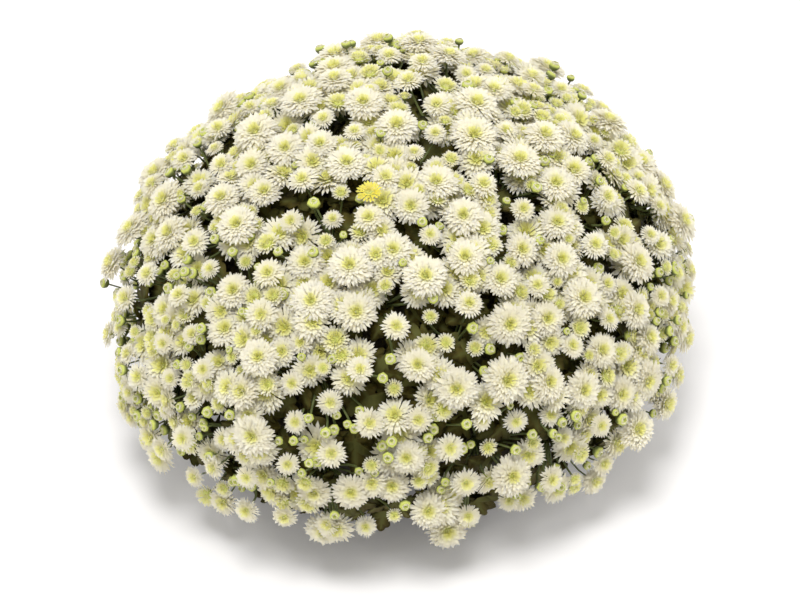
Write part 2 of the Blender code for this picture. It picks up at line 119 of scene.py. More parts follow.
# where the flower heads are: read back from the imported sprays

heads = dict(  # crown to neck tells the stage of opening, in metres
    full=dict(crown=.0045, neck=.0080),
    open=dict(crown=.0040, neck=.0070),
    half=dict(crown=-.0005, neck=.0060),
    bud=dict(crown=.0042, neck=.0048),
    neckRadius=.0012,
    knotRadius=.0045,
    crownLinks=(5, 10, 12),  # edges that meet at a crown
    tolerance=2e-5,
)


def welded(obj):
    # a CAD node's points without doubles, and each point's neighbours
    soup = listOf(obj.data.vertices, "co", 3).astype(float).round(6)
    points, number = np.unique(soup, axis=0, return_inverse=True)
    edges = number.ravel()[listOf(obj.data.edges, "vertices", 2, np.int32)]
    edges = np.unique(np.sort(edges, axis=1), axis=0)
    near = [[] for _ in points]
    for a, b in edges:
        near[a].append(b)
        near[b].append(a)
    return points, near


def readSpray(obj):
    # the knot's centre, and each head's stage, rim centre, axis and radius
    points, near = welded(obj)
    neckEdge = heads["neckRadius"] * math.sqrt(3)
    knotEdge = heads["knotRadius"] * 1.051462  # an icosahedron's edge
    reach = [np.linalg.norm(points[n] - points[i], axis=1) for i, n in enumerate(near)]
    corner = [(abs(r - neckEdge) < heads["tolerance"]).sum() >= 2 for r in reach]
    knot = [(abs(r - knotEdge) < heads["tolerance"]).sum() >= 3 for r in reach]
    found = []
    for i, around in enumerate(near):
        if len(around) not in heads["crownLinks"] or corner[i] or knot[i]:
            continue
        if any(corner[j] or knot[j] for j in around):
            continue
        neck = points[list({k for j in around for k in near[j] if corner[k]})].mean(0)
        deep = np.linalg.norm(points[i] - neck)
        stage = min(("full", "open", "half", "bud"), key=lambda s: abs(sum(heads[s].values()) - deep))
        axis = unit(points[i] - neck)
        middle = neck + axis * heads[stage]["neck"]
        arms = points[around] - middle
        arms -= np.outer(arms @ axis, axis)
        radius = float(np.linalg.norm(arms, axis=1).max())
        found.append(dict(stage=stage, place=middle, axis=axis, radius=radius))
    return points[knot].mean(0), found


sprays = {}
for name in sorted(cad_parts):
    if name.startswith("spray"):
        knot, found = readSpray(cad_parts[name])
        sprays[name] = dict(knot=knot, heads=found)
print("heads read:", sum(len(s["heads"]) for s in sprays.values()), "on", len(sprays), "sprays")


# the canopy, the curved layer that the heads lie in

canopy = dict(radius=.2445, rise=.207, widest=.106, drop=.165, skirtEnd=99.5, wave=.0028, skew=.044)
lopsided = np.eye(3)  # wider along one diagonal
lopsided[0, 1] = lopsided[1, 0] = canopy["skew"]


def canopyPoint(angle, turn, lift):
    # the place and the outward facing at an angle from the top, a turn round it and a lift off it
    semi = canopy["rise"] if angle < math.pi / 2 else canopy["drop"]
    out, up = math.sin(angle), math.cos(angle)
    heading = headingAt(turn)
    normal = unit(heading * (out / canopy["radius"]) + [0, 0, up / semi])
    wave = canopy["wave"] * out * (math.sin(4 * turn + 2.5 * angle) + math.sin(6 * turn - 4 * angle))
    place = heading * (canopy["radius"] * out) + [0, 0, canopy["widest"] + semi * up]
    return lopsided @ (place + normal * (lift + wave)), unit(np.linalg.inv(lopsided) @ normal)


def canopyAngles(shares, last):
    # angles from the top that share out the canopy's area evenly
    steps = np.linspace(0, math.radians(last), 400)
    semi = np.where(steps < math.pi / 2, canopy["rise"], canopy["drop"])
    area = np.cumsum(np.sin(steps) * np.hypot(canopy["radius"] * np.cos(steps), semi * np.sin(steps)))
    return np.interp(shares, area / area[-1], steps)


# petals and blooms

petal = dict(  # outlines, as shares of a petal's length and width
    long=dict(stations=(0.40, 0.82), widths=(0.80, 1.0), tip=0.40),
    mid=dict(stations=(0.80,), widths=(1.0,), tip=0.0),
    slim=dict(stations=(0.78,), widths=(1.0,), tip=0.0, lifted=True),  # its sides above its middle
    tiny=dict(stations=(0.60,), widths=(1.0,), tip=0.0, lifted=True),
    keel=.085,
    sharpest=50,  # degrees: a petal's rim stays crisp, its bends are smooth
    steps=12,  # of its middle line
    # a petal's top and its two sides: corners at each station, and the left, middle and right of its map
    strips=((0, 1, 0, .25, .5), (1, 2, .5, .6, .75), (2, 0, .75, .9, 1)),
    # how far the petals of a layer differ
    turnShare=.32,  # of the room that each has
    rise=math.radians(5),
    curl=math.radians(9),
    roll=.14,
    length=(.84, 1.07),
    width=(.9, 1.1),
)

# each layer: outline, petals, start, height, length, rise at base and tip in degrees, width,
# and tint at base and tip
bloomLayers = dict(
    full=[
        ("long", 36, .14, -.07, .90, 5, -13, .150, .16, .00),
        ("slim", 38, .14, -.05, .88, 10, -8, .155, .18, .00),
        ("slim", 35, .14, -.03, .80, 16, -2, .155, .20, .00),
        ("slim", 30, .13, .00, .69, 24, 6, .155, .24, .02),
        ("slim", 24, .12, .02, .57, 34, 16, .155, .36, .05),
        ("slim", 17, .11, .03, .45, 45, 30, .160, .56, .14),
        ("slim", 13, .10, .04, .35, 58, 50, .140, .80, .42),
        ("tiny", 10, .08, .04, .27, 68, 72, .130, .94, .72),
        ("tiny", 7, .04, .04, .19, 78, 90, .120, 1.0, .95),
    ],
    open=[
        ("long", 33, .16, -.06, .88, 8, -9, .155, .20, .00),
        ("slim", 34, .16, -.03, .82, 14, -3, .155, .22, .00),
        ("slim", 29, .15, .00, .70, 24, 7, .160, .28, .02),
        ("slim", 22, .13, .02, .57, 36, 20, .160, .44, .08),
        ("slim", 16, .11, .03, .44, 49, 40, .165, .68, .28),
        ("tiny", 12, .09, .04, .34, 62, 62, .145, .88, .62),
        ("tiny", 9, .06, .04, .25, 72, 80, .130, 1.0, .90),
        ("tiny", 5, .03, .04, .18, 82, 92, .120, 1.0, 1.0),
    ],
    lesser=[  # blooms of the same stage behind and among the others
        ("slim", 27, .16, -.06, .90, 8, -9, .160, .20, .00),
        ("slim", 27, .15, -.02, .79, 18, 0, .165, .26, .01),
        ("slim", 22, .13, .01, .63, 32, 15, .170, .46, .09),
        ("slim", 16, .11, .03, .47, 48, 38, .160, .74, .36),
        ("tiny", 11, .08, .04, .34, 64, 66, .150, .92, .70),
        ("tiny", 7, .04, .04, .24, 78, 88, .130, 1.0, .96),
    ],
    half=[
        ("slim", 22, .30, -.10, .70, 20, 4, .190, .54, .03),
        ("slim", 20, .27, -.04, .58, 38, 24, .185, .70, .20),
        ("slim", 17, .22, .02, .45, 54, 52, .170, .88, .56),
        ("tiny", 13, .16, .04, .36, 68, 78, .155, .94, .72),
        ("tiny", 9, .10, .05, .28, 78, 92, .140, 1.0, .92),
        ("tiny", 5, .04, .06, .20, 84, 96, .130, 1.0, 1.0),
    ],
    bud=[
        ("mid", 10, .86, .04, .82, 98, 176, .66, .62, .20),
        ("mid", 6, .56, .26, .46, 104, 170, .50, .95, .66),
    ],
)


def petalPoints(outline, length, width, rise, curl):
    # the middle line leaves the base at rise and ends at curl, in radians; y is out, z is up
    steps = petal["steps"]
    slopes = rise + (curl - rise) * (np.arange(steps) + 0.5) / steps
    line = np.vstack([[0, 0], np.cumsum(np.stack([np.cos(slopes), np.sin(slopes)], 1), 0) * length / steps])
    points = [Vector((0, 0, 0))]
    for share, wide in zip(outline["stations"], outline["widths"]):
        middle = Vector((0, *(np.interp(share * steps, np.arange(steps + 1), line[:, k]) for k in (0, 1))))
        slope = rise + (curl - rise) * share
        side = Vector((0.5 * width * wide, 0, 0))
        over = Vector((0, -math.sin(slope), math.cos(slope))) * width * wide * petal["keel"]
        if "lifted" in outline:
            points += [middle + over - side, middle + over + side]
        else:
            points += [middle - side, middle + side, middle - over]
    end = Vector((0, *line[-1]))
    side = Vector((0.5 * width * outline["tip"], 0, 0))
    return points + ([end - side, end + side] if outline["tip"] else [end])


def petalFaces(outline):
    # each face with its corners' places on the petal's own map
    at = outline["stations"]
    if "lifted" in outline:
        return [
            ((0, 2, 1), ((.25, 0), (.5, at[0]), (0, at[0]))),
            ((1, 2, 3), ((0, at[0]), (.5, at[0]), (.25, 1))),
            ((0, 3, 2), ((.6, 0), (.6, 1), (.75, at[0]))),
            ((0, 1, 3), ((.9, 0), (.75, at[0]), (.9, 1))),
        ]
    faces = []
    last, end, low = 3 * len(at) - 2, 3 * len(at) + 1, at[-1]
    for a, b, left, middle, right in petal["strips"]:
        faces.append(((0, 1 + b, 1 + a), ((middle, 0), (right, at[0]), (left, at[0]))))
        for k in range(len(at) - 1):
            i, j, below, above = 3 * k + 1, 3 * k + 4, at[k], at[k + 1]
            quad = [(i + b, (right, below)), (j + b, (right, above)), (j + a, (left, above))]
            quad.insert(3 if a else 0, (i + a, (left, below)))  # the sides bend along their other diagonal
            faces.append(tuple(zip(*quad)))
        if not outline["tip"]:
            faces.append(((last + a, last + b, end), ((left, low), (right, low), (middle, 1))))
    if outline["tip"]:
        faces.append(((last, last + 1, end + 1, end), ((0, low), (.5, low), (.4, 1), (.1, 1))))
        faces.append(((last + 2, end + 1, last + 1), ((.75, low), (.6, 1), (.5, low))))
        faces.append(((last + 2, end, end + 1), ((.75, low), (.9, 1), (.6, 1))))
        faces.append(((last, end, last + 2), ((1, low), (.9, 1), (.75, low))))
    return faces


def buildBloom(name, layers, seed):
    # a bloom of radius 1 that faces +Z, its rim's centre at the origin
    draw = np.random.default_rng(seed)
    points, faces, spots, tints = [], [], [], []
    for kind, count, start, height, length, rise, curl, width, base, tip in layers:
        outline = petal[kind]
        around = 2 if "lifted" in outline else 3  # points at each station
        phase = draw.uniform(0, 2 * math.pi)
        for i in range(count):
            turn = phase + 2 * math.pi * (i + draw.uniform(-petal["turnShare"], petal["turnShare"])) / count
            up = math.radians(rise) + draw.uniform(-petal["rise"], petal["rise"])
            down = math.radians(curl) + draw.uniform(-petal["curl"], petal["curl"])
            sizes = length * draw.uniform(*petal["length"]), width * draw.uniform(*petal["width"])
            own = petalPoints(outline, *sizes, up, down)
            place = Matrix.Rotation(turn - math.pi / 2, 4, "Z") @ Matrix.Translation((0, start, height))
            place = place @ Matrix.Rotation(draw.uniform(-petal["roll"], petal["roll"]), 4, "Y")
            first = len(points)
            points += [place @ p for p in own]
            shares = [0] + [at for at in outline["stations"] for _ in range(around)]
            shares += [1] * (len(own) - len(shares))
            tints += [base + (tip - base) * share for share in shares]
            for corners, cornerSpots in petalFaces(outline):
                faces.append([first + c for c in corners])
                spots += cornerSpots
    made = meshObject(name, points, faces)
    made.data.set_sharp_from_angle(angle=math.radians(petal["sharpest"]))
    giveNumbers(made.data, "tint", tints)
    giveMap(made.data, "petalMap", spots)
    return made


stageOrder = ("full", "open", "lesser", "half", "bud")
variants = dict(full=4, open=4, lesser=5, half=4, bud=3)
bloomShapes = bpy.data.collections.new("bloomShapes")  # read by the trees, not part of the scene
shapeIndex = {}
for s, stage in enumerate(stageOrder):
    for v in range(variants[stage]):
        made = buildBloom(f"shape{s}{v}", bloomLayers[stage], 100 * s + v)
        stowed(made, bloomShapes)
        shapeIndex[stage, v] = len(shapeIndex)
    print("bloom shape", stage, triangleCount(made.data), "triangles")


# the green cup under each bloom, which is nearly the whole of a bud, in the bloom's own measure

cups = dict(
    full=[(0, -.46), (.20, -.38), (.32, -.18), (0, -.06)],
    open=[(0, -.48), (.22, -.40), (.34, -.18), (0, -.05)],
    lesser=[(0, -.46), (.24, -.36), (.30, -.12), (0, -.05)],
    half=[(0, -.56), (.34, -.44), (.48, -.16), (0, -.02)],
    bud=[(0, -1.0), (.20, -1.0), (.72, -.74), (.97, -.22), (.90, .22), (.50, .42), (.20, .28), (0, .20)],
    sides=7,
    relief=.05,  # how far every other side stands out
    ripeFrom=dict(full=-.3, open=-.3, lesser=-.3, half=-.2, bud=-.1),  # height where it turns lime
)


def turnedMesh(name, profile, sides, relief=0.0):
    # a solid of revolution; its profile runs from the axis below, round the outside, to the axis above
    points, faces, rings = [], [], []
    for radius, z in profile:
        if radius == 0:
            rings.append([len(points)] * sides)
            points.append((0, 0, z))
            continue
        rings.append(list(range(len(points), len(points) + sides)))
        for k in range(sides):
            turn = 2 * math.pi * k / sides
            own = radius * (1 + relief * (-1) ** k)
            points.append((own * math.cos(turn), own * math.sin(turn), z))
    for lower, upper in zip(rings, rings[1:]):
        for k in range(sides):
            j = (k + 1) % sides
            faces.append(list(dict.fromkeys((lower[k], lower[j], upper[j], upper[k]))))
    return meshObject(name, points, faces)


cupShapes = bpy.data.collections.new("cupShapes")
for s, stage in enumerate(stageOrder):
    cup = turnedMesh(f"cup{s}", cups[stage], cups["sides"], cups["relief"])
    ripe = [float(p.co.z > cups["ripeFrom"][stage]) for p in cup.data.vertices]
    if stage == "bud":  # its dimple stays green
        ripe[-1] = 0.0
    giveNumbers(cup.data, "ripe", ripe)
    stowed(cup, cupShapes)


# the leaves

leaf = dict(
    # half of the lobed edge: half width and distance along, as shares of the length
    outline=[
        (.016, .00), (.016, .16), (.10, .20), (.22, .21), (.27, .27), (.25, .33),
        (.15, .39), (.26, .42), (.34, .48), (.35, .55), (.29, .61), (.18, .64),
        (.22, .70), (.23, .78), (.16, .84), (.12, .86), (.10, .93), (.04, .985),
    ],
    ribs=(.0, .18, .36, .54, .72, .88, 1.0),
    thickness=.012,
    taper=.7,  # of the rib, from the stalk to the tip
    ribDepth=1.6,  # under the blade, in thicknesses
    fold=.22,
    foldShare=(.5, 1.2),
    widthShare=(.92, 1.08),
    droop=(.10, .34),
    wave=.35 / 3,
    lobeFrom=.26,  # half width past which the edge is a lobe's tip, paler than the rest
    shapes=4,
)


def buildLeaf(name, seed):
    # a blade of length 1 along +Y, its upper face to +Z, with a rib down its middle and lobes that wave
    draw = np.random.default_rng(seed)
    droop = draw.uniform(*leaf["droop"])
    fold = leaf["fold"] * draw.uniform(*leaf["foldShare"])
    waves = draw.uniform(-1, 1, 2)
    points, veins = [], []
    for y in leaf["ribs"]:
        thick, sag = leaf["thickness"] * (1 - leaf["taper"] * y), droop * y * y
        points += [Vector((0, y, thick - sag)), Vector((0, y, -thick * leaf["ribDepth"] - sag))]
        veins += [1.0, 1.0]
    tip = len(points) - 2
    heights = [y for _, y in leaf["outline"]] + [1.0]
    faces = []
    for sign, wave in ((-1, waves[1]), (1, waves[0])):
        edge = []
        for w, y in leaf["outline"]:
            own = w * draw.uniform(*leaf["widthShare"])
            lift = fold * own + leaf["wave"] * own * math.sin(9 * y + wave * 3) - droop * y * y
            edge.append(len(points))
            points.append(Vector((sign * own, y, lift)))
            veins.append(.8 if own > leaf["lobeFrom"] else .0)
        edge.append(tip)
        rib = 0
        for k in range(len(edge) - 1):
            while rib < tip - 2 and (heights[k] + heights[k + 1]) / 2 > leaf["ribs"][rib // 2 + 1]:
                faces.append((edge[k], rib, rib + 2))
                rib += 2
            faces.append((edge[k], rib, edge[k + 1]))
    faces += [[p + 1 if p < tip and p % 2 == 0 else p for p in reversed(corners)] for corners in faces]
    made = meshObject(name, points, [f for f in faces if len(set(f)) == 3])
    bm = bmesh.new()
    bm.from_mesh(made.data)
    bmesh.ops.recalc_face_normals(bm, faces=bm.faces)
    bm.to_mesh(made.data)
    bm.free()
    giveNumbers(made.data, "vein", veins)
    corners = [points[corner.vertex_index] for corner in made.data.loops]
    giveMap(made.data, "leafMap", [(p.x + .5, p.y) for p in corners])
    return made


leafShapes = bpy.data.collections.new("leafShapes")
for v in range(leaf["shapes"]):
    made = buildLeaf(f"leaf{v}", 300 + v)
    stowed(made, leafShapes)
print("leaf shape:", triangleCount(made.data), "triangles")


# one tree sets a shape at every point, turned the way the point says


def newTree(name, *sockets):
    # sockets: label and kind of each named input, and the default of a plain value
    tree = bpy.data.node_groups.new(name, "GeometryNodeTree")
    for label, kind, *value in sockets:
        made = tree.interface.new_socket(label, in_out="INPUT", socket_type="NodeSocket" + kind)
        if value:
            made.default_value = value[0]
    tree.interface.new_socket("Geometry", in_out="OUTPUT", socket_type="NodeSocketGeometry")
    return tree, tree.nodes.new("NodeGroupInput").outputs


def feed(tree, socket, value):
    # a link or a plain value into a socket
    if isinstance(value, bpy.types.NodeSocket):
        tree.links.new(value, socket)
    else:
        socket.default_value = value


def nodeIn(tree, kind, inputs=None, output=0, **values):
    # a new node's output; inputs: what goes into its sockets; values: its settings
    made = tree.nodes.new(kind)
    for key, value in values.items():
        setattr(made, key, value)
    for label, value in (inputs or {}).items():
        feed(tree, made.inputs[label], value)
    return made.outputs[output]


def namedIn(tree, label, kind):
    return nodeIn(tree, "GeometryNodeInputNamedAttribute", dict(Name=label), data_type=kind)


def mathIn(tree, operation, a, b):
    return nodeIn(tree, "ShaderNodeMath", {0: a, 1: b}, operation=operation)


def randomIn(tree, low, high, seed):
    sockets = {2: low, 3: high, "Seed": seed}  # those for one number
    return nodeIn(tree, "FunctionNodeRandomValue", sockets, output=1, data_type="FLOAT")


def endTree(tree, geometry, finish):
    # real copies in one finish, because the export drops instances
    real = nodeIn(tree, "GeometryNodeRealizeInstances", dict(Geometry=geometry))
    painted = nodeIn(tree, "GeometryNodeSetMaterial", dict(Geometry=real, Material=finish))
    tree.links.new(painted, tree.nodes.new("NodeGroupOutput").inputs["Geometry"])


def scatterTree(name, finish):
    tree, given = newTree(
        name, ("Points", "Geometry"), ("Shapes", "Collection"), ("Size", "Float", 1.0),
        ("Spread", "Float", 0.05), ("Spin", "Float", 2 * math.pi), ("Seed", "Int", 7))
    points = nodeIn(tree, "GeometryNodeMeshToPoints", dict(Mesh=given["Points"]))
    shapes = nodeIn(tree, "GeometryNodeCollectionInfo", {
        "Collection": given["Shapes"], "Separate Children": True, "Reset Children": True})
    aim = nodeIn(tree, "FunctionNodeEulerToRotation", dict(Euler=namedIn(tree, "turn", "FLOAT_VECTOR")))
    angle = randomIn(tree, 0.0, given["Spin"], given["Seed"])
    spin = nodeIn(tree, "FunctionNodeAxisAngleToRotation", dict(Axis=(0, 0, 1), Angle=angle))
    both = {"Rotation": aim, "Rotate By": spin}
    turned = nodeIn(tree, "FunctionNodeRotateRotation", both, rotation_space="LOCAL")
    low, high = (mathIn(tree, way, 1.0, given["Spread"]) for way in ("SUBTRACT", "ADD"))
    chance = randomIn(tree, low, high, mathIn(tree, "ADD", given["Seed"], 1000.0))
    size = mathIn(tree, "MULTIPLY", given["Size"], chance)
    sized = {0: namedIn(tree, "reach", "FLOAT_VECTOR"), "Scale": size}
    reach = nodeIn(tree, "ShaderNodeVectorMath", sized, operation="SCALE")
    copies = nodeIn(tree, "GeometryNodeInstanceOnPoints", {
        "Points": points, "Instance": shapes, "Pick Instance": True,
        "Instance Index": namedIn(tree, "which", "INT"), "Rotation": turned, "Scale": reach})
    endTree(tree, copies, finish)
    return tree


def grown(carrier, name, tree, **settings):
    # what the tree makes of a carrier, as a plain mesh; settings: the tree's named inputs
    modifier = carrier.modifiers.new("grow", "NODES")
    modifier.node_group = tree
    for label, value in settings.items():
        modifier[inputOf(tree, label)] = value
    return plainMesh(carrier, name)


def scatter(name, tree, shapes, spots, **settings):
    # spots: place, turn, reach, which, and tone and warm for the finish
    carrier = meshObject(name + "Points", [s["place"] for s in spots])
    kinds = dict(turn="FLOAT_VECTOR", reach="FLOAT_VECTOR", which="INT", tone="FLOAT", warm="FLOAT")
    for label, kind in kinds.items():
        giveNumbers(carrier.data, label, [s.get(label, 0) for s in spots], kind)
    giveNumbers(carrier.data, "copyNumber", np.arange(len(spots)))
    return grown(carrier, name, tree, Shapes=shapes, **settings)


def turnOf(up, along=None):
    # the Euler turn that takes +Z to up and, where it is given, +Y as near as it can to along
    up = Vector(up).normalized()
    side = Vector(along).cross(up) if along is not None else up.orthogonal()
    side.normalize()
    return Matrix((side, up.cross(side), up)).transposed().to_euler()[:]


def tubeTree(name, finish):
    # a tube along each line of edges, as thick as its points say
    tree, given = newTree(name, ("Lines", "Geometry"), ("Thickness", "Float", 1.0), ("Sides", "Int", 5))
    curve = nodeIn(tree, "GeometryNodeMeshToCurve", dict(Mesh=given["Lines"]))
    ring = nodeIn(tree, "GeometryNodeCurvePrimitiveCircle", dict(Radius=1.0, Resolution=given["Sides"]))
    thick = mathIn(tree, "MULTIPLY", given["Thickness"], namedIn(tree, "thick", "FLOAT"))
    sized = nodeIn(tree, "GeometryNodeSetCurveRadius", dict(Curve=curve, Radius=thick))
    tube = nodeIn(tree, "GeometryNodeCurveToMesh", {
        "Curve": sized, "Profile Curve": ring, "Fill Caps": True,
        "Scale": nodeIn(tree, "GeometryNodeInputRadius")})
    endTree(tree, nodeIn(tree, "GeometryNodeSetShadeSmooth", dict(Geometry=tube)), finish)
    return tree


def tubes(name, tree, lines, **settings):
    # lines: a list of (points, thicknesses)
    edges, first = [], 0
    for line, _ in lines:
        edges += [(first + k, first + k + 1) for k in range(len(line) - 1)]
        first += len(line)
    carrier = meshObject(name + "Lines", np.vstack([line for line, _ in lines]), edges=edges)
    giveNumbers(carrier.data, "thick", np.concatenate([thick for _, thick in lines]))
    return grown(carrier, name, tree, **settings)


def joined(name, *pieces):
    # several meshes as one piece, each keeping its own finish
    bm = bmesh.new()
    mesh = bpy.data.meshes.new(name)
    for piece in pieces:
        first, start = len(mesh.materials), len(bm.faces)
        bm.from_mesh(piece.data)
        bm.faces.ensure_lookup_table()
        for face in bm.faces[start:]:
            face.material_index += first
        for finish in piece.data.materials:
            mesh.materials.append(finish)
        bpy.data.objects.remove(piece)
    bm.to_mesh(mesh)
    bm.free()
    return placed(name, mesh)


# finishes


def newFinish(name, **inputs):
    # inputs: plain values of the shader's sockets, an underscore for each space
    made = bpy.data.materials.new(name)
    made.use_nodes = True
    shader = made.node_tree.nodes["Principled BSDF"]
    for label, value in inputs.items():
        shader.inputs[label.replace("_", " ")].default_value = value
    return made, made.node_tree, shader.inputs


def rampIn(tree, source, *stops):
    ramp = tree.nodes.new("ShaderNodeValToRGB")
    elements = ramp.color_ramp.elements
    while len(elements) < len(stops):
        elements.new(0.5)
    for element, (at, colour) in zip(elements, stops):
        element.position = at
        element.color = (*colour, 1)
    tree.links.new(source, ramp.inputs["Fac"])
    return ramp.outputs["Color"]


def mixIn(tree, mode, amount, a, b):
    sockets = {0: amount, 6: a, 7: b}  # those for colours
    return nodeIn(tree, "ShaderNodeMix", sockets, output=2, data_type="RGBA", blend_type=mode)


def noiseIn(tree, scale, detail=3.0):
    place = nodeIn(tree, "ShaderNodeTexCoord", output="Object")
    return nodeIn(tree, "ShaderNodeTexNoise", dict(Vector=place, Scale=scale, Detail=detail), output="Fac")


def attributeIn(tree, name):
    return nodeIn(tree, "ShaderNodeAttribute", output="Fac", attribute_name=name)


def bumpIn(tree, shader, height, strength, distance):
    bump = nodeIn(tree, "ShaderNodeBump", dict(Strength=strength, Distance=distance, Height=height))
    tree.links.new(bump, shader["Normal"])


def mottled(name, grain, stops, bump, over=None, **inputs):
    # two colours in a noise; over: a third one, and the source and stops of where it lies
    made, tree, shader = newFinish(name, **inputs)
    colour = rampIn(tree, noiseIn(tree, *grain), *stops)
    if over:
        top, source, *marks = over
        where = attributeIn(tree, source) if isinstance(source, str) else noiseIn(tree, *source)
        amount = rampIn(tree, where, *((at, (share, share, share)) for at, share in marks))
        colour = mixIn(tree, "MIX", amount, colour, (*top, 1))
    tree.links.new(colour, shader["Base Color"])
    scale, detail, strength, distance = bump
    bumpIn(tree, shader, noiseIn(tree, scale, detail), strength, distance)
    return made


def petalFinish():
    made, tree, shader = newFinish(
        "petalWhite", Roughness=0.55, Specular_IOR_Level=0.3,
        Subsurface_Weight=0.6, Subsurface_Radius=(1.0, 0.9, 0.6), Subsurface_Scale=0.0025)
    tint = rampIn(
        tree, attributeIn(tree, "tint"), (0.00, (.945, .880, .675)), (0.22, (.942, .880, .58)),
        (0.50, (.89, .86, .25)), (1.00, (.82, .80, .11)))
    warm = mixIn(tree, "MIX", attributeIn(tree, "warm"), tint, (.96, .82, .05, 1))
    dull = rampIn(tree, attributeIn(tree, "tone"), (0.0, (.95, .94, .91)), (1.0, (1, 1, 1)))
    toned = mixIn(tree, "MULTIPLY", 1.0, warm, dull)
    fleck = rampIn(tree, noiseIn(tree, 260.0), (0.3, (.97, .97, .95)), (0.7, (1, 1, 1)))
    tree.links.new(mixIn(tree, "MULTIPLY", 1.0, toned, fleck), shader["Base Color"])
    onPetal = dict(Vector=nodeIn(tree, "ShaderNodeUVMap", uv_map="petalMap"), Scale=1.6)
    ribs = nodeIn(tree, "ShaderNodeTexWave", onPetal, output="Fac", wave_type="BANDS", bands_direction="X")
    bumpIn(tree, shader, ribs, 0.2, 0.0003)
    return made


def potFinish():
    made = mottled(
        "potPlastic", (30.0, 5.0), ((0.3, (.030, .026, .024)), (0.75, (.048, .042, .038))),
        (1400.0, 2.0, 0.15, 0.0003), ((.13, .11, .09), (14.0, 6.0), (0.55, 0), (0.80, .35)))  # dusty
    tree = made.node_tree
    rough = rampIn(tree, noiseIn(tree, 90.0, 5.0), (0.3, (.40, .40, .40)), (0.7, (.60, .60, .60)))
    tree.links.new(rough, tree.nodes["Principled BSDF"].inputs["Roughness"])
    return made


petalWhite = petalFinish()
potPlastic = potFinish()
leafGreen = mottled(
    "leafGreen", (55.0, 3.0), ((0.3, (.048, .037, .007)), (0.7, (.090, .075, .014))),
    (420.0, 3.0, 0.3, 0.0006), ((.090, .092, .022), "vein", (0.55, 0), (1.0, 1)),
    Roughness=0.7, Specular_IOR_Level=0.12)
# painted shade: a darker green than the leaves' own, for the middle of the bush, where shade falls
shadedLeaves = mottled(
    "shadedLeaves", (90.0, 5.0), ((0.35, (.026, .018, .004)), (0.7, (.060, .045, .011))),
    (200.0, 3.0, 0.6, 0.003), Roughness=0.8)
stalkGreen = mottled(
    "stalkGreen", (120.0, 3.0), ((0.3, (.085, .110, .028)), (0.7, (.150, .180, .050))),
    (900.0, 3.0, 0.2, 0.0003), ((.57, .62, .11), "ripe", (0.0, 0), (1.0, 1)), Roughness=0.6)
bark = mottled(
    "bark", (160.0, 6.0), ((0.35, (.060, .042, .022)), (0.65, (.150, .120, .070))),
    (500.0, 6.0, 0.6, 0.001), Roughness=0.85)
pottingSoil = mottled(
    "pottingSoil", (300.0, 6.0), ((0.3, (.016, .010, .006)), (0.7, (.060, .040, .024))),
    (600.0, 6.0, 0.7, 0.001), ((.55, .52, .46), "tone", (0.93, 0), (0.95, 1)), Roughness=0.95)


# the blooms, in six groups round the plant

blooms = dict(
    groups=6,
    trueSize=.88,  # of a head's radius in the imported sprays, which are larger than life
    gapShare=.60,  # the same where the bush shows a gap
    upward=.34,  # how much the heads turn from the canopy's facing to the light overhead
    forward=.20,  # and to the light in front
    lowest=-.12,  # how far down the skirt's heads look
    lean=.15,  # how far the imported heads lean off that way
    singleLean=.1,
    across=(.94, 1.06),  # how far each differs from its radius, across and upwards
    tall=(.85, 1.1),
    # added heads: stage, count, radii, lifts over the canopy, spots tried for each,
    # and how far they lean off its facing
    added=[
        ("lesser", 200, (.0148, .0180), (-.013, -.003), 6, .40),
        ("lesser", 210, (.0126, .0158), (-.012, .000), 8, .42),
        ("half", 90, (.0085, .0120), (-.009, .001), 12, .35),
        ("half", 95, (.0056, .0080), (-.006, .002), 10, .30),
        ("bud", 190, (.0036, .0052), (-.010, .003), 7, .25),
        ("bud", 120, (.0030, .0050), (-.008, .004), 2, .25),
        ("bud", 36, (.0038, .0050), (.005, .010), 3, .25),
    ],
    # dark gaps of about this size show where a noise is under a level, given at the top and at the skirt
    gapSize=.034,
    gapBelow=(-.06, .20),
    # single heads of the photograph: stage, degrees from the top and round it, lift, radius, yellowness
    single=[
        ("half", 25, -102, .009, .0105, 1.0), ("lesser", 15, 10, .001, .0120, .25),
        ("bud", 84, 178, .013, .0048, 0), ("bud", 82, -153, .011, .0050, 0),
        ("bud", 43, 117, .012, .0052, 0), ("bud", 30, 115, .012, .0045, 0),
        ("bud", 79, 12, .013, .0048, 0), ("lesser", 97, -145, .000, .0150, 0),
        ("lesser", 101, -142, .002, .0155, 0), ("open", 98, -157, .002, .0145, 0),
        ("lesser", 92, -12, .005, .0150, 0), ("lesser", 99, -26, .005, .0160, 0),
        ("half", 109, -131, .000, .0110, 0), ("lesser", 107, -126, .000, .0140, 0),
        ("lesser", 101, -100, .002, .0150, 0), ("open", 104, -103, .000, .0165, 0),
        ("open", 107, -79, .002, .0165, 0), ("half", 104, -75, .000, .0105, 0),
        ("lesser", 101, -64, .000, .0130, 0), ("lesser", 101, -57, .000, .0150, 0),
        ("open", 105, -48, .004, .0145, 0), ("half", 103, -53, .003, .0090, 0),
    ],
    seed=21,
)


def facingAt(normal, draw, lean):
    # the canopy's own facing, turned toward the light
    rise = max(normal[2], blooms["lowest"]) + blooms["upward"]
    way = unit([normal[0], normal[1] - blooms["forward"], rise])
    return unit(way + draw.uniform(-lean, lean, 3))


def inGap(place, angle):
    level = np.interp(angle, (.4, 1.6), blooms["gapBelow"])
    return noise.noise(Vector(place) / blooms["gapSize"]) < level


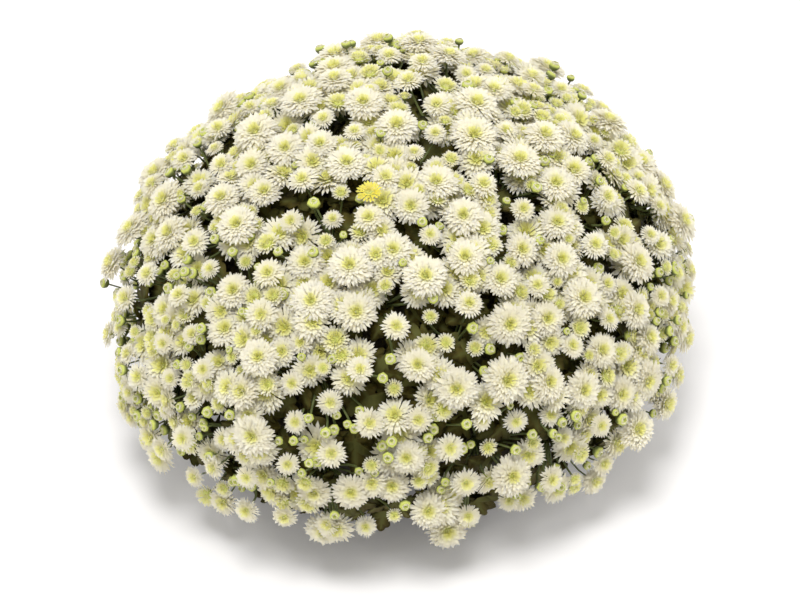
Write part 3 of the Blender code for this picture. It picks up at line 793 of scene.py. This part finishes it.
def addHeads(every, stage, count, radii, lifts, tries, lean, draw):
    # each new head goes to the roomiest of a few random spots; only buds may stand in a gap
    places = np.array([h["place"] for h in every])
    widths = np.array([h["radius"] for h in every])
    for _ in range(count):
        radius = draw.uniform(*radii)
        tried = []
        while len(tried) < tries:
            angle = float(canopyAngles(draw.random(), canopy["skirtEnd"] - 1))
            place, normal = canopyPoint(angle, draw.uniform(-math.pi, math.pi), draw.uniform(*lifts))
            if stage == "bud" or not inGap(place, angle):
                room = (np.linalg.norm(places - place, axis=1) / (widths + radius)).min()
                tried.append((room, place, normal))
        _, place, normal = max(tried, key=lambda spot: spot[0])
        every.append(dict(stage=stage, place=place, axis=facingAt(normal, draw, lean), radius=radius))
        places = np.vstack([places, place])
        widths = np.append(widths, radius)


draw = np.random.default_rng(blooms["seed"])
everyHead = []
for number, spray in enumerate(sprays.values()):
    for head in spray["heads"]:
        x, y, z = head["place"]
        angle = math.atan2(math.hypot(x, y), z - canopy["widest"])
        small = inGap(head["place"], angle)
        if head["stage"] != "bud":
            head["radius"] *= blooms["gapShare"] if small else blooms["trueSize"]
        if small and head["stage"] in ("full", "open"):
            head["stage"] = "lesser"
        head["axis"] = facingAt(head["axis"], draw, blooms["lean"])
        head["spray"] = number
        everyHead.append(head)
for stage, *numbers in blooms["added"]:
    addHeads(everyHead, stage, *numbers, draw)
for stage, angle, turn, lift, radius, warm in blooms["single"]:
    place, normal = canopyPoint(math.radians(angle), math.radians(turn), lift)
    axis = facingAt(normal, draw, blooms["singleLean"])
    everyHead.append(dict(stage=stage, place=place, axis=axis, radius=radius, warm=warm))
print("heads in all:", len(everyHead))

knots = np.array([spray["knot"] for spray in sprays.values()])
for head in everyHead:  # an added head grows on the nearest spray
    head.setdefault("spray", int(np.linalg.norm(knots - head["place"], axis=1).argmin()))
turns = np.arctan2(knots[:, 1], knots[:, 0]) % (2 * math.pi)
groupOf = (turns / (2 * math.pi) * blooms["groups"]).astype(int)
bloomTree = scatterTree("bloomScatter", petalWhite)


def spotOf(head, reach, which):
    turn, warm = turnOf(head["axis"]), head.get("warm", 0)
    return dict(place=head["place"], turn=turn, reach=reach, which=which, tone=draw.random(), warm=warm)


def bloomSpot(head):
    reach = [head["radius"] * draw.uniform(*blooms[key]) for key in ("across", "across", "tall")]
    return spotOf(head, reach, shapeIndex[head["stage"], int(draw.integers(variants[head["stage"]]))])


groupHeads = [[h for h in everyHead if groupOf[h["spray"]] == g] for g in range(blooms["groups"])]
groupSprays = [[n for n, g in zip(sprays, groupOf) if g == k] for k in range(blooms["groups"])]
bloomPieces = []
for g, own in enumerate(groupHeads):
    spots = [bloomSpot(head) for head in own]
    piece = scatter(f"blooms_{g + 1}", bloomTree, bloomShapes, spots, Seed=50 + g)
    bloomPieces.append(piece)
    print("blooms", g + 1, len(own), "heads", triangleCount(piece.data), "triangles")


# the cups and the stalks, group by group

stalks = dict(
    points=6,
    sides=4,
    atKnot=.0013,  # thickness, as a radius
    atNeck=.0009,
    bow=.34,  # how far each end runs straight, as a share of the whole
    outward=.7,  # how much a stalk leaves its knot away from the middle
    seat=.96,  # it ends just inside the cup
    stem=.0021,
    stemFoot=.0026,
    stemPoints=9,
    stemBow=.38,
    stemOut=(.015, .040),  # where the stems start, from the middle and from the floor
    stemHigh=(.160, .184),
)
cupTree = scatterTree("cupScatter", stalkGreen)
stalkTree = tubeTree("stalkTubes", stalkGreen)


def bowed(start, leave, end, arrive, count, bow):
    # points on a smooth curve between two places, leaving and arriving the given ways
    reach = np.linalg.norm(end - start) * bow
    a, b, c, d = start, start + leave * reach, end - arrive * reach, end
    t = np.linspace(0, 1, count)[:, None]
    return a * (1 - t)**3 + 3 * b * t * (1 - t)**2 + 3 * c * t**2 * (1 - t) + d * t**3


def outwardOf(knot):
    return unit([knot[0], knot[1], knot[2] * .6])


def stalkLine(head):
    knot = knots[head["spray"]]
    cupFoot = head["place"] + head["axis"] * cups[head["stage"]][0][1] * head["radius"] * stalks["seat"]
    leave = unit(unit(cupFoot - knot) + outwardOf(knot) * stalks["outward"])
    line = bowed(knot, leave, cupFoot, head["axis"], stalks["points"], stalks["bow"])
    return line, np.linspace(stalks["atKnot"], stalks["atNeck"], stalks["points"])


def stemLine(knot, draw):
    # from the woody base out to the knot
    heading = unit([knot[0], knot[1], 0])
    foot = heading * draw.uniform(*stalks["stemOut"]) + [0, 0, draw.uniform(*stalks["stemHigh"])]
    rise = unit(heading * .5 + [0, 0, .85])
    line = bowed(foot, rise, knot, outwardOf(knot), stalks["stemPoints"], stalks["stemBow"])
    return line, np.linspace(stalks["stemFoot"], stalks["stem"], stalks["stemPoints"])


greenPieces = []
for g, own in enumerate(groupHeads):
    spots = [spotOf(head, [head["radius"]] * 3, stageOrder.index(head["stage"])) for head in own]
    cupPiece = scatter(f"cups_{g + 1}", cupTree, cupShapes, spots, Spread=0.0, Seed=80 + g)
    lines = [stalkLine(head) for head in own]
    lines += [stemLine(knot, draw) for knot in knots[groupOf == g]]
    stalkPiece = tubes(f"stalkLines_{g + 1}", stalkTree, lines, Sides=stalks["sides"])
    greenPieces.append(joined(f"stalks_{g + 1}", cupPiece, stalkPiece))
    print("stalks", g + 1, triangleCount(greenPieces[-1].data), "triangles")


# the leaves between the stalks, and the dense middle of the bush behind them

foliage = dict(
    leaves=1250,
    length=(.030, .047),
    width=(.85, 1.15),  # against the plain shape of the same length
    depth=(.024, .048),  # of their roots under the canopy
    clear=.008,  # kept between a leaf's tip and the canopy
    lowest=.010,
    lastAngle=126,
    rise=(8, 62),  # degrees
    roll=.5,  # how far they lean sideways
    golden=2.39996,  # turn from one to the next, in radians
    coreInside=[(0.0, .185), (.060, .185), (.109, .155)],  # the hollow over the pot
    coreLip=[(.119, .060), (.160, .030)],  # its lower edge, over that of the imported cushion
    coreEnd=104,  # degrees from the top
    coreDepth=.052,
    coreSides=72,
    coreRows=30,
    coreRelief=.010,
    coreBumps=(55, 120),  # of a coarse and a fine noise
    seed=31,
)
leafTree = scatterTree("leafScatter", leafGreen)


def leafSpots(draw):
    spots = []
    for i in range(foliage["leaves"]):
        angle = float(canopyAngles((i + draw.random()) / foliage["leaves"], foliage["lastAngle"]))
        depth = draw.uniform(*foliage["depth"])
        place, normal = canopyPoint(angle, i * foliage["golden"], -depth)
        length = draw.uniform(*foliage["length"])
        most = min(foliage["rise"][1], math.degrees(math.asin(min(1, (depth - foliage["clear"]) / length))))
        rise = math.radians(draw.uniform(foliage["rise"][0], most))
        across = unit(np.cross(normal, draw.uniform(-1, 1, 3)))
        way = normal * math.sin(rise) + across * math.cos(rise)
        side = np.cross(way, normal)
        up = unit(np.cross(side, way)) + side * draw.uniform(-foliage["roll"], foliage["roll"])
        if min(place[2], (place + way * length)[2]) < foliage["lowest"]:
            continue
        spots.append(dict(
            place=place,
            turn=turnOf(up - way * (up @ way), way),
            reach=(length * draw.uniform(*foliage["width"]), length, length),
            which=int(draw.integers(leaf["shapes"])),
            tone=draw.random(),
        ))
    return spots


def leafyCore():
    # the shaded middle of the bush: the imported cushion's own form, with bumps the size of leaves
    rows, (coarse, fine) = foliage["coreRows"], foliage["coreBumps"]
    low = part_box("foliage")[0].z
    profile = foliage["coreInside"] + [(out, low + high) for out, high in foliage["coreLip"]]
    for k in range(rows):
        angle = math.radians(foliage["coreEnd"] * (1 - k / (rows - 1)))
        place, _ = canopyPoint(angle, 0.0, -foliage["coreDepth"])
        profile.append((max(place[0], 0.0) if k < rows - 1 else 0.0, place[2]))
    made = turnedMesh("foliage_core", profile, foliage["coreSides"])
    made.data.transform(Matrix(lopsided.tolist()).to_4x4())
    for point in made.data.vertices:
        if point.co.to_2d().length > .001:
            push = noise.noise(point.co * coarse) + .6 * noise.noise(point.co * fine)
            way = Vector((point.co.x, point.co.y, (point.co.z - .1) * .8)).normalized()
            point.co += way * push * foliage["coreRelief"]
    made.data.materials.append(shadedLeaves)
    return made


leafPlaces = leafSpots(np.random.default_rng(foliage["seed"]))
leafPiece = scatter("foliage_leaves", leafTree, leafShapes, leafPlaces, Spin=0.0, Seed=31)
corePiece = leafyCore()
print("leaves:", len(leafPlaces), "with", triangleCount(leafPiece.data), "triangles")


# the pot, the soil in it and the woody base

pot = dict(
    radius=.095,
    baseRadius=.068,
    height=.145,
    wall=.002,
    rimWidth=.0035,
    rimDepth=.013,
    footWidth=.008,
    footHeight=.003,
    drains=5,
    drainRadius=.006,
    drainSides=20,
    round=.0008,  # of its edges
    rings=(.040, .046),  # heights of two fine moulded rings
    ringRelief=.0004,
    sides=96,
)
ground = dict(
    surface=.131,
    heap=.0018,
    gap=.0006,
    roughness=.0016,
    rows=15,
    sides=56,
    crumbs=420,
    crumbRadius=(.0007, .0022),
    crumbKinds=3,
    seed=41,
)
wood = dict(
    trunkRadius=.0072,
    sunk=.032,
    fork=.143,
    branches=5,
    branchRadius=.0042,
    spread=.043,
    top=.1847,
    relief=.0006,
    taper=.12,
    grain=(300, 300, 60),  # of the bark, long along the trunk
    rows=16,
    sides=20,
    points=12,  # of a branch
)


def rounded(profile, radius, steps=3):
    # cuts each corner of an open profile with a short arc; points on the axis stay
    points = [Vector(p) for p in profile]
    out = [points[0]]
    for before, here, after in zip(points, points[1:], points[2:]):
        back, onward = before - here, after - here
        cut = min(radius, back.length / 2, onward.length / 2)
        start, end = here + back.normalized() * cut, here + onward.normalized() * cut
        for k in range(steps + 1):
            t = k / steps
            out.append(start * (1 - t)**2 + here * 2 * t * (1 - t) + end * t**2)
    return [tuple(p) for p in out + [points[-1]]]


def cutAway(body, tools):
    for k, tool in enumerate(tools):
        modifier = body.modifiers.new(f"cut{k}", "BOOLEAN")
        modifier.object = tool
        modifier.solver = "EXACT"
    made = plainMesh(body, body.name)
    for tool in tools:
        bpy.data.objects.remove(tool)
    return made


def potRadius(height):
    # of its outer wall
    return pot["baseRadius"] + (pot["radius"] - pot["baseRadius"]) / pot["height"] * height


def buildPot():
    footInner = pot["baseRadius"] - pot["footWidth"]
    floorZ = pot["footHeight"] + pot["wall"]
    rimZ = pot["height"] - pot["rimDepth"]
    rings = []
    for z in pot["rings"]:
        for rise, out in ((-.0012, 0), (-.0004, 1), (.0004, 1), (.0012, 0)):
            rings.append((potRadius(z + rise) + out * pot["ringRelief"], z + rise))
    profile = [
        (0, pot["footHeight"]),
        (footInner, pot["footHeight"]),
        (footInner + .001, 0),
        (pot["baseRadius"], 0),
        *rings,
        (potRadius(rimZ), rimZ),
        (potRadius(rimZ) + pot["rimWidth"], rimZ),
        (pot["radius"] + pot["rimWidth"], pot["height"]),
        (pot["radius"] - pot["wall"], pot["height"]),
        (potRadius(floorZ) - pot["wall"], floorZ),
        (0, floorZ),
    ]
    body = turnedMesh("pot_body", rounded(profile, pot["round"]), pot["sides"])
    drains = []
    for k in range(pot["drains"]):
        reach = footInner - 2 * pot["drainRadius"]
        drill = [(0, -.002), (pot["drainRadius"], -.002), (pot["drainRadius"], .010), (0, .010)]
        drain = turnedMesh(f"drain{k}", drill, pot["drainSides"])
        drain.data.transform(Matrix.Translation(headingAt(2 * math.pi * k / pot["drains"]) * reach))
        drains.append(drain)
    body = cutAway(body, drains)
    body.data.set_sharp_from_angle(angle=math.radians(40))
    body.data.materials.clear()
    body.data.materials.append(potPlastic)
    return body


def buildSoil():
    margin, level = pot["wall"] + ground["gap"], ground["surface"]
    floorZ = pot["footHeight"] + pot["wall"] + ground["gap"] / 2
    hole = wood["trunkRadius"] + ground["gap"]
    top = potRadius(level) - margin
    rows = np.linspace(top, hole, ground["rows"])
    profile = [(0, floorZ), (potRadius(floorZ) - margin, floorZ), *[(r, level) for r in rows]]
    profile += [(hole, level - wood["sunk"]), (0, level - wood["sunk"])]
    body = turnedMesh("soil_body", profile, ground["sides"])
    for point in body.data.vertices:
        out = point.co.to_2d().length
        if point.co.z > level - 1e-4 and out < top - 1e-4:
            share = (top - out) / (top - hole)
            rough = ground["roughness"] * noise.noise(point.co * 90) * min(1, 4 * share)
            point.co.z += ground["heap"] * share + rough
    body.data.materials.append(pottingSoil)
    draw = np.random.default_rng(ground["seed"])
    crumbShapes = bpy.data.collections.new("crumbShapes")
    for k in range(ground["crumbKinds"]):
        bm = bmesh.new()
        bmesh.ops.create_icosphere(bm, subdivisions=1, radius=1)
        for point in bm.verts:
            point.co *= draw.uniform(.7, 1.15)
        mesh = bpy.data.meshes.new(f"crumb{k}")
        bm.to_mesh(mesh)
        bm.free()
        crumbShapes.objects.link(bpy.data.objects.new(f"crumb{k}", mesh))
    spots = []
    for _ in range(ground["crumbs"]):
        out = math.sqrt(draw.uniform((hole + .004)**2, (top - .004)**2))
        turn = draw.uniform(0, 2 * math.pi)
        radius = draw.uniform(*ground["crumbRadius"])
        high = level + ground["heap"] * (top - out) / (top - hole)
        spots.append(dict(
            place=headingAt(turn) * out + [0, 0, high],
            turn=tuple(draw.uniform(-3, 3, 3)),
            reach=(radius, radius, radius * .8),
            which=int(draw.integers(ground["crumbKinds"])),
            tone=draw.random(),
        ))
    crumbs = scatter("soil_crumbs", scatterTree("crumbScatter", pottingSoil), crumbShapes, spots, Seed=42)
    return joined("soil_filled", body, crumbs)


def buildWood():
    radius, low = wood["trunkRadius"], ground["surface"] - wood["sunk"]
    profile = [(0, low)]
    for k in range(wood["rows"] + 1):
        share = k / wood["rows"]
        profile.append((radius * (1 - wood["taper"] * share), low + (wood["fork"] - low) * share))
    profile += [(radius * .6, wood["fork"] + .0035), (0, wood["fork"] + .004)]
    trunk = turnedMesh("trunk", profile, wood["sides"])
    for point in trunk.data.vertices:
        way = Vector((point.co.x, point.co.y, 0))
        if way.length > .001 and point.co.z > ground["surface"]:
            push = noise.noise(point.co * Vector(wood["grain"]))
            point.co += way.normalized() * (push - .4) * wood["relief"]
    trunk.data.materials.append(bark)
    lines = []
    for k in range(wood["branches"]):
        turn = 2 * math.pi * (k + .3) / wood["branches"]
        heading = headingAt(turn)
        reach = wood["spread"] * (.75 if k % 2 else 1)
        start = heading * .0015 + [0, 0, wood["fork"] - .010]
        end = heading * reach + [0, 0, wood["top"]]
        rise = unit(heading * .45 + [0, 0, .9])
        line = bowed(start, rise, end, np.array([0, 0, 1.0]), wood["points"], .33)
        thick = np.linspace(wood["branchRadius"], wood["branchRadius"] * .8, wood["points"])
        lines.append((line, thick * (1 + .06 * np.sin(np.arange(wood["points"]) * 2.3 + k))))
    branches = tubes("branches", tubeTree("branchTubes", bark), lines, Sides=12)
    return joined("woody_stems", trunk, branches)


potPiece = buildPot()
soilPiece = buildSoil()
woodPiece = buildWood()
for piece in (potPiece, soilPiece, woodPiece):
    print(piece.name, triangleCount(piece.data), "triangles")


# a bake map for the pieces made of many copies, whose faces are too small for one laid out by area


def cornerPoints(mesh):
    return listOf(mesh.loops, "vertex_index", kind=np.int32)


def cornerValues(mesh, name):
    # a point attribute's value at each face corner
    return listOf(mesh.attributes[name].data, "value")[cornerPoints(mesh)]


def cornerMap(mesh, name):
    return listOf(mesh.uv_layers[name].uv, "vector", 2).T


for piece in bloomPieces:
    # a strip for each bloom, along which the tint runs
    copy = cornerValues(piece.data, "copyNumber")
    across, _ = cornerMap(piece.data, "petalMap")
    u = .02 + .96 * cornerValues(piece.data, "tint")
    giveMap(piece.data, "OFBake", np.stack([u, (copy + .2 + .6 * across) / (copy.max() + 1)], 1))

# a cell for each leaf
copy = cornerValues(leafPiece.data, "copyNumber")
across, along = cornerMap(leafPiece.data, "leafMap")
columns = math.ceil(math.sqrt(copy.max() + 1))
cells = np.stack([copy % columns + .1 + .8 * across, copy // columns + .06 + .88 * along], 1)
giveMap(leafPiece.data, "OFBake", cells / columns)

for g, piece in enumerate(greenPieces):
    # laid flat as seen from outside, the ripe tops of the buds in the upper half
    turn = 2 * math.pi * (g + .5) / blooms["groups"]
    aside = np.array([[-math.sin(turn), 0], [math.cos(turn), 0], [0, 1]])
    flat = listOf(piece.data.vertices, "co", 3) @ aside
    flat = ((flat - flat.min(0)) / np.ptp(flat, axis=0))[cornerPoints(piece.data)]
    ripe = cornerValues(piece.data, "ripe") > .5
    giveMap(piece.data, "OFBake", np.stack([flat[:, 0], .01 + .48 * flat[:, 1] + .5 * ripe], 1))


# camera, floor and light


def aimed(name, data, place, back):
    # a camera or a lamp that looks away from back
    made = placed(name, data)
    made.location = place
    made.rotation_mode = "QUATERNION"
    made.rotation_quaternion = Vector(back).to_track_quat("Z", "Y")
    return made


view = dict(distance=2.0, elevation=39.2, aim=(-.003, .0, .1086), lens=105.0)
up = math.radians(view["elevation"])
back = Vector((0, -math.cos(up), math.sin(up)))
place = Vector(view["aim"]) + back * view["distance"]
camera = aimed("camera", bpy.data.cameras.new("camera"), place, back)
camera.data.lens = view["lens"]
bpy.context.scene.camera = camera

paperWhite, _, _ = newFinish(
    "paperWhite", Base_Color=(.97, .95, .94, 1), Roughness=0.9,
    Emission_Color=(1, .97, .96, 1), Emission_Strength=0.08)
floor = meshObject("floor", [(-6, -6, 0), (6, -6, 0), (6, 6, 0), (-6, 6, 0)], [(0, 1, 2, 3)])
floor.data.materials.append(paperWhite)

lamps = dict(  # place, width and power of each softbox; all face the plant
    overhead=((-.16, -.82, 2.2), .85, 36),
    left=((-2.2, .2, 1.3), 1.4, 13),
    right=((2.2, .2, 1.3), 1.4, 19),
    behind=((0, 2.2, 1.5), 1.4, 14),
)
for name, (place, width, power) in lamps.items():
    lamp = aimed(name, bpy.data.lights.new(name, "AREA"), place, place)
    lamp.data.shape = "DISK"
    lamp.data.size = width
    lamp.data.energy = power

# a pale room: dim near the floor, brightest overhead
room = dict(dim=0.32, bright=0.68, exposure=-0.13, gamma=1.1)
world = bpy.data.worlds.new("studio")
world.use_nodes = True
sky = world.node_tree
way = nodeIn(sky, "ShaderNodeTexCoord", output="Generated")
height = nodeIn(sky, "ShaderNodeSeparateXYZ", dict(Vector=way), output="Z")
glow = nodeIn(sky, "ShaderNodeMapRange", {"Value": height, "To Min": room["dim"], "To Max": room["bright"]})
shine = sky.nodes["Background"].inputs
feed(sky, shine["Color"], (1, 1, 1, 1))
feed(sky, shine["Strength"], glow)
bpy.context.scene.world = world
look = bpy.context.scene.view_settings
look.view_transform = "Standard"
look.exposure = room["exposure"]
look.gamma = room["gamma"]

for g, piece in enumerate(bloomPieces):
    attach(piece, "root")
    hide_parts(*groupSprays[g])
for g, piece in enumerate(greenPieces):
    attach(piece, "root")
    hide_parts(*groupSprays[g])
for piece in (leafPiece, corePiece):
    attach(piece, "root")
    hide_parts("foliage")

for piece, node, slot in (
    (potPiece, "pot", "pot_plastic"),
    (soilPiece, "soil", "soil"),
    (woodPiece, "woody_base", "woody_stems"),
):
    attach(piece, "root")
    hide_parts(node)
